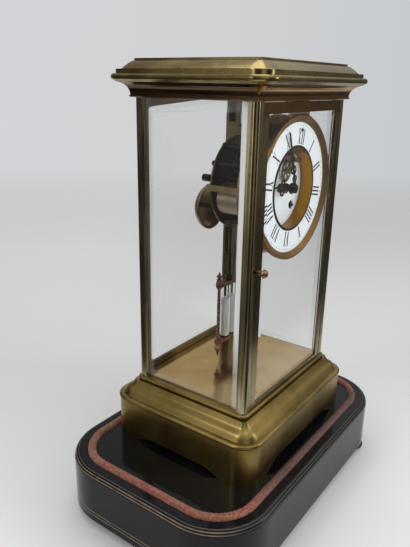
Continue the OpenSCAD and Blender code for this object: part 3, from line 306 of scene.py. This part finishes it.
def velvet():
    """Worn red chenille: short pile in flecks, dark along the front, faded to tan in patches."""
    front_run, right_run, back_run = (-0.074, -0.066), (-0.10, -0.055), (0.0, 0.05)
    finish, tree, shader = new_finish("red_chenille")
    where = place(tree)
    pile = cloud(tree, where, 1150, detail=4, rough=0.75)
    tufts = place(tree, (420, 420, 420), (0, 0, 40))
    flecks = cloud(tree, tufts, 1, detail=4, rough=0.7, warp=0.8)
    red = graded(tree, flecks, (0.34, (0.15, 0.042, 0.030)), (0.5, (0.28, 0.088, 0.06)),
                 (0.68, (0.40, 0.168, 0.12)))
    tan = graded(tree, flecks, (0.34, (0.13, 0.062, 0.026)), (0.66, (0.33, 0.20, 0.098)))
    brown = graded(tree, flecks, (0.34, (0.05, 0.024, 0.020)), (0.68, (0.15, 0.082, 0.068)))
    spot = axes(tree, where)
    front = level(tree, spot["Y"], 0.9, 0, *front_run)
    right = level(tree, spot["X"], 0, 1, *right_run)
    trodden = maths(tree, "MULTIPLY", front, right)
    sunned = level(tree, spot["Y"], 0, 0.10, *back_run)
    patches = cloud(tree, where, 38, detail=5, rough=0.72, warp=0.6)
    worn = level(tree, maths(tree, "ADD", patches, sunned), 0, 1, 0.52, 0.62)
    colour = blend(tree, trodden, blend(tree, worn, red, tan), brown)
    gaps = level(tree, pile, 0.75, 0, 0.34, 0.46)
    join_to(tree, shader, Base_Color=blend(tree, gaps, colour, (0.05, 0.018, 0.014)))
    shader.inputs["Roughness"].default_value = 0.92
    shader.inputs["Sheen Weight"].default_value = 0.15
    shader.inputs["Sheen Roughness"].default_value = 0.4
    relief(tree, shader, blend(tree, 0.5, pile, flecks), strength=0.8, depth=0.0008)
    return finish


def enamel():
    """White fired enamel: a trace of blue, slow ripples under a clear gloss."""
    finish, tree, shader = new_finish("white_enamel")
    where = place(tree)
    slow = cloud(tree, where, 30, detail=3)
    specks = level(tree, cloud(tree, where, 900, detail=2), 0, 1, 0.73, 0.78)
    white = graded(tree, slow, (0.3, (0.84, 0.88, 0.93)), (0.7, (0.88, 0.91, 0.95)))
    join_to(tree, shader, Base_Color=blend(tree, specks, white, (0.45, 0.43, 0.40)))
    shader.inputs["Roughness"].default_value = 0.16
    shader.inputs["Coat Weight"].default_value = 0.4
    relief(tree, shader, slow, strength=0.08, depth=0.0004)
    return finish


def plate_glass(name, tint, smear=0.02, border=None):
    """Old polished glass: clear, faintly tinted, with a few smears. Daylight passes through.

    The border is (node, axis across, width, near share, far share, level share): there the pane is
    bevelled, and its slopes are painted pale in those shares at the axis's low side, at its high
    side, and at head and foot, the low side's share weaker towards the foot: a white diffuse
    surface, a painted light standing in for the bright room seen through the bevel.
    """
    finish, tree, shader = new_finish(name)
    shader.inputs["Transmission Weight"].default_value = 1
    shader.inputs["IOR"].default_value = 1.3
    smears = cloud(tree, place(tree, (1, 1, 0.45)), 34, detail=5, rough=0.65, warp=1.0)
    join_to(tree, shader,
            Base_Color=graded(tree, smears, (0.3, tint), (0.8, (0.985, 0.99, 0.985))),
            Roughness=level(tree, smears, 0.0, smear, 0.55, 0.8))
    surface = shader.outputs["BSDF"]
    if border:
        pane, across, width, near, far, head = border
        low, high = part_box(pane)
        axis = "XYZ".index(across)
        half = (high[axis] - low[axis]) / 2 - width
        tall = (high.z - low.z) / 2 - width
        crest = 0.3 * MM
        spot = axes(tree, place(tree, middle=(low + high) / 2))
        strip = level(tree, spot[across], 1, 0, -half - crest, -half)
        fading = level(tree, spot["Z"], 0.3 * near, near, -0.8 * tall, -0.45 * tall)
        share = maths(tree, "MULTIPLY", strip, fading)
        for slope in (level(tree, spot[across], 0, far, half, half + crest),
                      level(tree, spot["Z"], head, 0, -tall - crest, -tall),
                      level(tree, spot["Z"], 0, head, tall, tall + crest)):
            share = maths(tree, "MAXIMUM", share, slope)
        # Painted light: on the bevels a pale diffuse surface is mixed in, standing in for the
        # bright room seen through the slopes.
        ground = add(tree, "ShaderNodeBsdfDiffuse", Color=(0.80, 0.82, 0.81, 1)).outputs["BSDF"]
        bevelled = add(tree, "ShaderNodeMixShader", _0=share, _1=surface, _2=ground)
        surface = bevelled.outputs["Shader"]
    rays = tree.nodes.new("ShaderNodeLightPath").outputs
    clear = add(tree, "ShaderNodeBsdfTransparent", Color=(0.96, 0.97, 0.965, 1)).outputs["BSDF"]
    through = maths(tree, "MAXIMUM", rays["Is Shadow Ray"], rays["Is Diffuse Ray"])
    mixed = add(tree, "ShaderNodeMixShader", _0=through, _1=surface, _2=clear)
    tree.links.new(mixed.outputs["Shader"], tree.nodes["Material Output"].inputs["Surface"])
    return finish


def ink():
    """Black numerals fired into the enamel, slightly thin in places."""
    finish, tree, shader = new_finish("numeral_black")
    black = graded(tree, cloud(tree, place(tree), 420, detail=3),
                   (0.4, (0.010, 0.010, 0.012)), (0.75, (0.035, 0.035, 0.04)))
    join_to(tree, shader, Base_Color=black)
    shader.inputs["Roughness"].default_value = 0.25
    return finish


def still_mirror():
    """Mercury: a bright liquid mirror, a little dulled at the glass."""
    finish, tree, shader = new_finish("mercury_pool")
    shader.inputs["Metallic"].default_value = 0.6
    where = place(tree)
    silver = graded(tree, cloud(tree, where, 120, detail=4),
                    (0.3, (0.72, 0.73, 0.72)), (0.7, (0.90, 0.905, 0.90)))
    join_to(tree, shader, Base_Color=silver,
            Roughness=level(tree, cloud(tree, where, 200, detail=3), 0.12, 0.3))
    return finish


finishes = {
    "case": brass("case_brass", (0.20, 0.141, 0.041), (0.36, 0.265, 0.092), (0.12, 0.082, 0.028),
                  (0.27, 0.345), stain_share=0.8),
    # The cornice's cove band is painted shade, dark maroon at the sides, and its lighter copper
    # front is a painted reflection.
    "cornice": brass("cornice_brass", (0.22, 0.16, 0.06), (0.42, 0.32, 0.14), (0.11, 0.072, 0.03),
                     (0.12, 0.26),
                     dark_band=(*CORNICE_SHADE_BAND, (0.135, 0.082, 0.043), (0.42, 0.215, 0.05))),
    # The posts' pale upright lines are painted highlights.
    "post": brass("post_brass", (0.17, 0.136, 0.066), (0.34, 0.28, 0.145), (0.07, 0.055, 0.028),
                  (0.1, 0.2), grain=(900, 900, 26), painted_glints=(0.60, 0.515, 0.36)),
    "door": brass("door_brass", (0.19, 0.148, 0.068), (0.37, 0.295, 0.15), (0.07, 0.055, 0.028),
                  (0.1, 0.2), grain=(900, 900, 26),
                  dark_band=(*DOOR_BAND, (0.24, 0.13, 0.042), (0.42, 0.235, 0.08))),
    "floor": brass("floor_brass", (0.50, 0.325, 0.115), (0.66, 0.455, 0.18), (0.37, 0.24, 0.085),
                   (0.09, 0.22), grain=(30, 300, 60), stain_share=0.72),
    "gilt": brass("bezel_gilt", (0.305, 0.172, 0.058), (0.465, 0.285, 0.11), (0.14, 0.078, 0.026),
                  (0.34, 0.48), grain=(300, 300, 300), stain_share=0.7),
    "lip": brass("well_gilt", (0.28, 0.12, 0.005), (0.44, 0.20, 0.010), (0.16, 0.07, 0.008),
                 (0.28, 0.42), lip=(ENAMEL_Y - 0.1 * MM, (0.085, 0.05, 0.026))),
    "knob": brass("knob_copper", (0.23, 0.122, 0.075), (0.44, 0.26, 0.155), (0.11, 0.062, 0.042),
                  (0.2, 0.36)),
    "works": brass("movement_brass", (0.23, 0.166, 0.07), (0.44, 0.33, 0.15), (0.11, 0.078, 0.038),
                   (0.24, 0.42)),
    "dull": brass("dull_brass", (0.085, 0.06, 0.03), (0.19, 0.14, 0.075), (0.04, 0.03, 0.018),
                  (0.25, 0.45)),
    "drum": brass("drum_patina", (0.19, 0.118, 0.084), (0.40, 0.262, 0.19), (0.09, 0.06, 0.046),
                  (0.28, 0.45)),
    "shade": brass("shaded_brass", (0.018, 0.014, 0.009), (0.055, 0.043, 0.027),
                   (0.010, 0.008, 0.006), (0.3, 0.5)),
    "barrel": brass("barrel_brass", (0.29, 0.227, 0.165), (0.57, 0.455, 0.34),
                    (0.14, 0.108, 0.078), (0.3, 0.46)),
    "hands": brass("hand_bronze", (0.030, 0.018, 0.010), (0.13, 0.078, 0.034),
                   (0.014, 0.011, 0.009), (0.2, 0.38)),
    "bell": brass("bell_metal", (0.34, 0.242, 0.145), (0.62, 0.47, 0.30), (0.16, 0.113, 0.074),
                  (0.26, 0.42)),
    "steel": brass("grey_steel", (0.24, 0.232, 0.222), (0.42, 0.41, 0.39), (0.12, 0.095, 0.08),
                   (0.2, 0.36)),
    "square": brass("dark_steel", (0.035, 0.032, 0.030), (0.10, 0.092, 0.085),
                    (0.02, 0.016, 0.014), (0.2, 0.36)),
    "inlay": worn_gilt(),
    "polish": lacquer(),
    "chenille": velvet(),
    "enamel": enamel(),
    "side_pane": plate_glass("side_glass", PANE_TINT,
                             border=("side_glass_left", "Y", 7.5 * MM, 0.85, 0.05, 0.05)),
    "far_pane": plate_glass("far_side_glass", PANE_TINT,
                            border=("side_glass_right", "Y", 7.5 * MM, 0.12, 0.05, 0.05)),
    "front_pane": plate_glass("front_glass", PANE_TINT,
                              border=("front_door_glass", "X", 2.5 * MM, 0.05, 0.06, 0.05)),
    "back_pane": plate_glass("back_glass", PANE_TINT,
                             border=("back_door_glass", "X", 6 * MM, 0.05, 0.05, 0.05)),
    "vial": plate_glass("vial_glass", (0.90, 0.93, 0.92), smear=0.01),
    "ink": ink(),
    "mercury": still_mirror(),
}

dressed = {
    "polish": ["plinth_board", "bun_feet"],
    "inlay": ["plinth_lines"],
    "chenille": ["chenille_ring"],
    "case": ["base_casting", "base_cap", "ring_moulding", "post_nuts"],
    "cornice": ["cornice_frame", "cornice_lid"],
    "knob": ["front_knob", "back_knob", "pendulum_frame"],
    "post": ["post_front_left", "post_front_right", "post_back_left", "post_back_right"],
    "door": ["front_door_frame", "back_door_frame"],
    "floor": ["floor_plate"],
    "gilt": ["dial_bezel"],
    "lip": ["well_ring"],
    "drum": ["dial_drum"],
    "enamel": ["chapter_ring", "dial_centre"],
    "hands": ["minute_hand", "hour_hand", "pendulum_rod"],
    "bell": ["bell"],
    "barrel": ["going_barrel", "strike_barrel"],
    "steel": ["movement_screws", "anchor"],
    "square": ["going_arbor", "strike_arbor", "regulator_arbor", "hammer", "fly"],
    "works": ["movement_straps", "escapement_cock", "escape_wheel", "suspension_cock"],
    "dull": ["dial_plate", "minute_wheel", "back_plate", "bell_stand"],
    "shade": ["front_plate", "plate_pillars", "middle_wheel", "centre_wheel", "third_wheel",
              "second_wheel", "pin_wheel"],
    "side_pane": ["side_glass_left"],
    "far_pane": ["side_glass_right"],
    "front_pane": ["front_door_glass"],
    "back_pane": ["back_door_glass"],
    "vial": ["mercury_vials"],
    "mercury": ["mercury"],
}
for finish_name, names in dressed.items():
    for name in names:
        mesh = nodes[name].data
        mesh.materials.clear()
        mesh.materials.append(finishes[finish_name])


# Numerals and minute marks on the enamel ring

def stroke(foot, head, width, low, high):
    """One pen stroke of a numeral, from x = foot at the bottom to x = head at the top, in mm."""
    put_down()
    bpy.ops.mesh.primitive_plane_add(size=1, location=(0, 0, 0))
    piece = bpy.context.object
    bpy.ops.object.mode_set(mode="EDIT")
    bpy.ops.mesh.select_all(action="SELECT")
    bpy.ops.transform.resize(value=(width * MM, (high - low) * MM, 1))
    bpy.ops.transform.translate(value=(foot * MM, (low + high) / 2 * MM, 0))
    pick(piece, lambda co: co.y > (low + high) / 2 * MM)
    bpy.ops.transform.translate(value=((head - foot) * MM, 0, 0))
    bpy.ops.mesh.select_all(action="SELECT")
    bpy.ops.mesh.extrude_region_move(TRANSFORM_OT_translate={"value": (0, 0, INK_T)})
    bpy.ops.mesh.select_all(action="SELECT")
    bpy.ops.mesh.normals_make_consistent(inside=False)
    bpy.ops.object.mode_set(mode="OBJECT")
    return piece


def letter(kind, x, low, high):
    """The strokes and serifs of one Roman letter whose left edge is at x."""
    thick, thin, serif = 1.25, 0.38, 0.28
    thick_in, thin_in = 1.1, 0.9
    thick_serif, thin_serif = 2.3, 1.7
    wide = LETTER_WIDE[kind]
    middle = x + wide / 2
    left, right = x + thick_in, x + wide - thin_in
    top = high - serif
    if kind == "I":
        parts = [(middle, middle, thick, low, high)]
        ends = [(middle, wide, low), (middle, wide, top)]
    elif kind == "V":
        parts = [(middle, left, thick, low, high), (middle + 0.1, right, thin, low, high)]
        ends = [(left, thick_serif, top), (right, thin_serif, top)]
    else:
        thick_foot, thin_foot = x + wide - thick_in, x + thin_in
        parts = [(thick_foot, left, thick, low, high), (thin_foot, right, thin, low, high)]
        ends = [(left, thick_serif, top), (right, thin_serif, top),
                (thick_foot, thick_serif, low), (thin_foot, thin_serif, low)]
    made = [stroke(*part) for part in parts]
    made += [stroke(centre, centre, span, at, at + serif) for centre, span, at in ends]
    return made


def hour_numerals():
    """I to XII round the ring, feet to the centre."""
    low, high, gap = 33.6, 44.6, 0.35
    made = []
    for hour, text in enumerate("I II III IIII V VI VII VIII IX X XI XII".split(), 1):
        x = -(sum(LETTER_WIDE[c] for c in text) + gap * (len(text) - 1)) / 2
        parts = []
        for c in text:
            parts += letter(c, x, low, high)
            x += LETTER_WIDE[c] + gap
        numeral = join(parts, "numeral")
        numeral.rotation_euler.z = math.radians(-30 * hour)
        settle(numeral)
        made.append(numeral)
    ring = join(made, "hour_numerals")
    onto_dial(ring, ENAMEL_Y)
    ring.data.materials.append(finishes["ink"])
    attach(ring, "case")


def minute_marks():
    """A dot for each minute at the ring's edge, larger at the hours."""
    dot_r, dot_at, hour_scale = 0.34 * MM, 47.3 * MM, 1.5
    put_down()
    bpy.ops.mesh.primitive_circle_add(vertices=14, radius=dot_r, fill_type="NGON",
                                      location=(0, dot_at, 0))
    dot = bpy.context.object
    bpy.ops.object.mode_set(mode="EDIT")
    bpy.ops.mesh.select_all(action="SELECT")
    bpy.ops.mesh.extrude_region_move(TRANSFORM_OT_translate={"value": (0, 0, INK_T)})
    bpy.ops.mesh.inset(thickness=0.05 * MM)
    bpy.ops.mesh.select_all(action="SELECT")
    bpy.ops.mesh.normals_make_consistent(inside=False)
    bpy.ops.object.mode_set(mode="OBJECT")
    dots = []
    for minute in range(60):
        twin = copy_of(dot)
        if minute % 5 == 0:
            twin.scale = (hour_scale, hour_scale, 1)
        settle(twin)
        twin.rotation_euler.z = math.radians(6 * minute)
        settle(twin)
        dots.append(twin)
    bpy.data.objects.remove(dot)
    ring = join(dots, "minute_marks")
    onto_dial(ring, ENAMEL_Y)
    ring.data.materials.append(finishes["ink"])
    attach(ring, "case")


hour_numerals()
minute_marks()


# Chenille cord in its groove

def chenille_cord():
    """A soft round pile cord laid round the plinth's groove."""
    low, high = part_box("chenille_ring")
    width = 7.4 * MM
    corner = (PLINTH_R - GROOVE_INSET - GROOVE_W / 2) * MM
    corner_steps = 32
    half_x, half_y = (high.x - low.x - width) / 2, (high.y - low.y - width) / 2
    middle = Vector(((low.x + high.x) / 2, (low.y + high.y) / 2, high.z - width / 2))
    path = bpy.data.curves.new("cord_path", "CURVE")
    path.dimensions = "3D"
    spline = path.splines.new("POLY")
    points = []
    for sx, sy, start in ((1, 1, 0), (-1, 1, 90), (-1, -1, 180), (1, -1, 270)):
        for step in range(corner_steps + 1):
            a = math.radians(start + 90 * step / corner_steps)
            points.append((sx * (half_x - corner) + corner * math.cos(a),
                           sy * (half_y - corner) + corner * math.sin(a)))
    spline.points.add(len(points) - 1)
    for p, (x, y) in zip(spline.points, points):
        p.co = (middle.x + x, middle.y + y, middle.z, 1)
    spline.use_cyclic_u = True
    path.bevel_depth = width / 2 - 0.35 * MM
    path.bevel_resolution = 8
    cord = bpy.data.objects.new("chenille_cord", path)
    bpy.context.collection.objects.link(cord)
    take(cord)
    bpy.ops.object.convert(target="MESH")
    cord = bpy.context.object
    cut = cord.modifiers.new("rings", "SUBSURF")
    cut.subdivision_type = "SIMPLE"
    cut.levels = cut.render_levels = 2
    bpy.ops.object.modifier_apply(modifier="rings")
    pile = bpy.data.textures.new("pile", "CLOUDS")
    pile.noise_scale = 0.0011
    pile.noise_depth = 2
    lift = cord.modifiers.new("pile", "DISPLACE")
    lift.texture = pile
    lift.texture_coords = "LOCAL"
    lift.strength = 0.9 * MM
    lift.mid_level = 0.5
    bpy.ops.object.modifier_apply(modifier="pile")
    bpy.ops.object.shade_smooth()
    cord.data.materials.clear()
    cord.data.materials.append(finishes["chenille"])
    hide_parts("chenille_ring")
    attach(cord, "case")


chenille_cord()


# Floor, light and camera

def pale_floor():
    """A pale round table that fades into the room. Polish mirrors a wedge of it only."""
    eye_foot = (-0.384, -0.2422, 0)
    view_ahead, view_right = (0.8113, 0.5847, 0), (0.5847, -0.8113, 0)
    put_down()
    bpy.ops.mesh.primitive_circle_add(vertices=96, radius=2.6, fill_type="NGON",
                                      location=(0, 0, 0))
    floor = bpy.context.object
    floor.name = "pale_floor"
    settle(floor)
    finish, tree, shader = new_finish("pale_table")
    spot = tree.nodes.new("ShaderNodeTexCoord").outputs["Object"]
    off = add(tree, "ShaderNodeVectorMath", {"operation": "SUBTRACT"}, _0=spot,
              _1=eye_foot).outputs["Vector"]
    ahead = along(tree, off, view_ahead)
    aside = along(tree, off, view_right)
    slant = maths(tree, "DIVIDE", maths(tree, "ABSOLUTE", aside), ahead)

    # Painted light on the table: tones from the near edge to the far one, at the left and at the
    # right, brighter near the viewer, dimmer in the middle and dimmest to the far right
    reach = level(tree, ahead, 0, 1, 0.3, 1.5)
    left, right = (graded(tree, reach, *[(at, (v, v, v)) for at, v in tones]) for tones in (
        ((0.0, 0.80), (0.1, 0.765), (0.28, 0.61), (0.73, 0.645), (1.0, 0.63)),
        ((0.0, 0.80), (0.1, 0.77), (0.28, 0.625), (0.73, 0.545), (1.0, 0.53))))
    tone = blend(tree, level(tree, aside, 0, 1, -0.25, 0.3), left, right)
    mottle = level(tree, cloud(tree, place(tree), 3, detail=3), 0, 0.06, 0.3, 0.7)
    join_to(tree, shader, Base_Color=blend(tree, mottle, tone, (0.5, 0.5, 0.5)))
    shader.inputs["Roughness"].default_value = 0.75
    shader.inputs["Specular IOR Level"].default_value = 0.2

    # Whole to light that no polish has turned, a wedge ahead of the viewer to the rest
    rays = tree.nodes.new("ShaderNodeLightPath").outputs
    eyed = level(tree, rays["Glossy Depth"], 1, 0, 0, 1)
    radius = add(tree, "ShaderNodeVectorMath", {"operation": "LENGTH"}, _0=spot).outputs["Value"]
    shown = maths(tree, "MULTIPLY", eyed, level(tree, radius, 1, 0, 1.2, 2.5))
    wedge = maths(tree, "MULTIPLY", level(tree, slant, 1, 0, 0.52, 0.68),
                  level(tree, ahead, 0, 1, 0.05, 0.2))
    far = level(tree, ahead, 1, 0, 1.2, 2.3)
    join_to(tree, shader, Alpha=maths(tree, "MULTIPLY", maths(tree, "MAXIMUM", shown, wedge), far))
    floor.data.materials.append(finish)


def soft_room():
    """A pale room. The eye sees its wall, straight or through glass. Polish sees windows, dim low
    down and lighter overhead. The rest is lit evenly."""
    view_back, view_right = (-0.81, -0.585, 0), (0.585, -0.81, 0)
    # From behind the clock round by the left: share of the turn, light at eye height, light below
    windows = [(0.0, 0.45, 0.10), (0.03, 0.44, 0.10), (0.11, 0.16, 0.06), (0.22, 0.07, 0.05),
               (0.288, 0.06, 0.05), (0.305, 0.45, 0.19), (0.335, 0.8, 0.19), (0.36, 1.9, 0.22),
               (0.385, 0.10, 0.05), (0.46, 0.07, 0.05), (0.50, 0.07, 0.06), (0.52, 0.5, 0.16),
               (0.59, 0.45, 0.15), (0.61, 0.05, 0.05), (0.69, 0.05, 0.05), (0.72, 0.4, 0.14),
               (0.76, 0.24, 0.11), (0.80, 0.20, 0.07), (0.825, 0.19, 0.07), (0.84, 0.09, 0.06),
               (0.90, 0.12, 0.06), (0.97, 0.44, 0.10), (1.0, 0.45, 0.10)]
    world = bpy.data.worlds.new("soft_room")
    bpy.context.scene.world = world
    world.use_nodes = True
    tree = world.node_tree
    tree.nodes.clear()
    rays = tree.nodes.new("ShaderNodeLightPath").outputs
    straight = level(tree, rays["Glossy Depth"], 1, 0, 0, 1)
    through = maths(tree, "MULTIPLY", rays["Is Transmission Ray"], straight)
    seen = maths(tree, "MAXIMUM", rays["Is Camera Ray"], through)
    polished = maths(tree, "MAXIMUM", rays["Is Glossy Ray"], rays["Is Transmission Ray"])

    where = tree.nodes.new("ShaderNodeTexCoord").outputs["Generated"]
    before = along(tree, where, view_back)
    aside = along(tree, where, view_right)
    height = axes(tree, where)["Z"]
    angle = level(tree, maths(tree, "ARCTAN2", aside, before), 0, 1, -math.pi, math.pi)
    eye_high, low_down = (
        graded(tree, angle, *[(row[0], (row[i], row[i] * 0.98, row[i] * 0.95)) for row in windows])
        for i in (1, 2))
    around = blend(tree, level(tree, height, 0, 1, -0.27, -0.13), low_down, eye_high)
    above = graded(tree, level(tree, aside, 0, 1, -0.4, 0.5),
                   (0.0, (0.36, 0.346, 0.32)), (1.0, (0.98, 0.97, 0.945)))
    room = blend(tree, level(tree, height, 0, 1, 0.25, 0.75), around, above)
    wall = graded(tree, level(tree, aside, 0, 1, -0.4, 0.4), (0.0, (0.655, 0.665, 0.69)),
                  (0.5, (0.63, 0.64, 0.655)), (1.0, (0.56, 0.585, 0.60)))
    shown, mirrored, even = (
        add(tree, "ShaderNodeBackground", Color=colour, Strength=1.0).outputs[0]
        for colour in (wall, room, (0.66, 0.67, 0.68, 1)))
    lit = add(tree, "ShaderNodeMixShader", _0=polished, _1=even, _2=mirrored).outputs[0]
    mixed = add(tree, "ShaderNodeMixShader", _0=seen, _1=lit, _2=shown).outputs[0]
    tree.links.new(mixed, add(tree, "ShaderNodeOutputWorld").inputs["Surface"])


def soft_box(name, at, towards, size, watts, tint=(1, 1, 1), mirrored=True):
    """A square lamp that looks at a point. The eye never sees it, straight or through glass, and
    one that isn't mirrored doesn't show in polish."""
    lamp = bpy.data.lights.new(name, "AREA")
    lamp.shape = "RECTANGLE"
    lamp.size, lamp.size_y = size
    lamp.energy = watts
    lamp.color = tint
    box = bpy.data.objects.new(name, lamp)
    box.location = at
    box.rotation_euler = (Vector(towards) - Vector(at)).to_track_quat("-Z", "Y").to_euler()
    box.visible_glossy = mirrored
    box.visible_camera = box.visible_transmission = False
    bpy.context.collection.objects.link(box)


def portrait_camera():
    """The photograph's view: close, a little above, looking at the clock's left side and dial."""
    sensor, focal_pixels, picture_pixels = 36, 565.5, 547
    eye_place = CLOCK + Vector((-388.7, -244.9, 239.7)) * MM
    heading, pitch, roll = (math.radians(a) for a in (54.22, 18.66, 1.08))
    camera = bpy.data.cameras.new("portrait_camera")
    camera.sensor_width = sensor
    camera.lens = sensor * focal_pixels / picture_pixels
    camera.clip_start = 0.01
    eye = bpy.data.objects.new("portrait_camera", camera)
    bpy.context.collection.objects.link(eye)
    ahead = Vector((math.sin(heading) * math.cos(pitch), math.cos(heading) * math.cos(pitch),
                    -math.sin(pitch)))
    right = Vector((math.cos(heading), -math.sin(heading), 0))
    up = right.cross(ahead)
    level_x = math.cos(roll) * right + math.sin(roll) * up
    level_y = -math.sin(roll) * right + math.cos(roll) * up
    turn = Matrix((level_x, level_y, -ahead)).transposed().to_4x4()
    eye.matrix_world = Matrix.Translation(eye_place) @ turn
    bpy.context.scene.camera = eye


pale_floor()
soft_room()
soft_box("left_window", at=(-1.45, 0.50, 1.65), towards=(0, 0, 0.25), size=(0.5, 0.8), watts=7,
         tint=DAYLIGHT)
soft_box("right_window", at=(1.12, -1.66, 0.95), towards=(0, 0, 0.25), size=(0.5, 1.4), watts=7,
         tint=DAYLIGHT)
soft_box("front_fill", at=(0.5, -1.8, 0.7), towards=(0, 0, 0.27), size=(1.0, 1.0), watts=16,
         mirrored=False)
soft_box("ceiling", at=(0.2, 0.2, 1.9), towards=(0, 0, 0.2), size=(1.2, 1.2), watts=8)
portrait_camera()
bpy.context.scene.view_settings.view_transform = "Standard"
